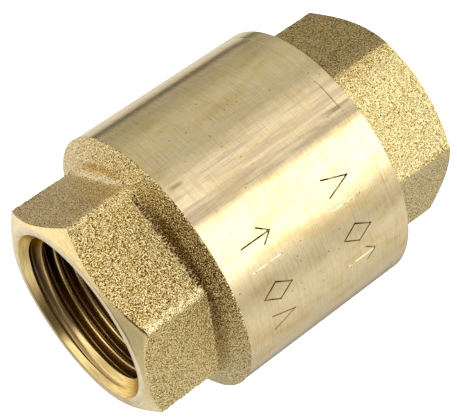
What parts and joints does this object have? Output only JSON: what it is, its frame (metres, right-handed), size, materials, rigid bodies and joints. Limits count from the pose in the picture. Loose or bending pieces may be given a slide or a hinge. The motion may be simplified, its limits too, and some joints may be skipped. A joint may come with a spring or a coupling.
{
  "type": "spring check valve",
  "caption": "In-line spring check valve: round brass barrel between two wrench hexagons with female pipe threads, and a sprung poppet inside.",
  "frame": {"origin": "middle of the valve: on its axis, half-way between the two end faces", "axes": "+X along the axis the way the water flows, from the inlet to the outlet; +Z square to one flat of the inlet hexagon"},
  "size_m": [0.047, 0.0342, 0.0342],
  "materials": {
    "cast_brass": "sand-blasted hexagon and shoulder, turned barrel",
    "bar_brass": "turned",
    "stainless_steel": "turned",
    "spring_steel": "drawn wire and blanked strip",
    "rubber": "moulded nitrile rubber",
    "ptfe": "cut fluoropolymer"
  },
  "bodies": {
    "housing": {"valve_body": "cast_brass", "end_cap": "bar_brass", "cap_gasket": "ptfe", "return_spring": "spring_steel", "spring_washer": "stainless_steel", "stem_guide": "bar_brass", "guide_bush": "ptfe", "guide_retaining_ring": "spring_steel"},
    "poppet": {"poppet_disc": "bar_brass", "poppet_seal": "rubber", "seal_clamp_washer": "stainless_steel", "stem_nut": "stainless_steel", "poppet_stem": "stainless_steel"}
  },
  "joints": [
    {"name": "poppet_lift", "type": "slide", "parent": "housing", "child": "poppet", "axis": [1, 0, 0], "range_m": [0, 0.005], "stiffness_N_per_m": 290, "springref_m": -0.0021, "deforming": ["return_spring"]}
  ]
}
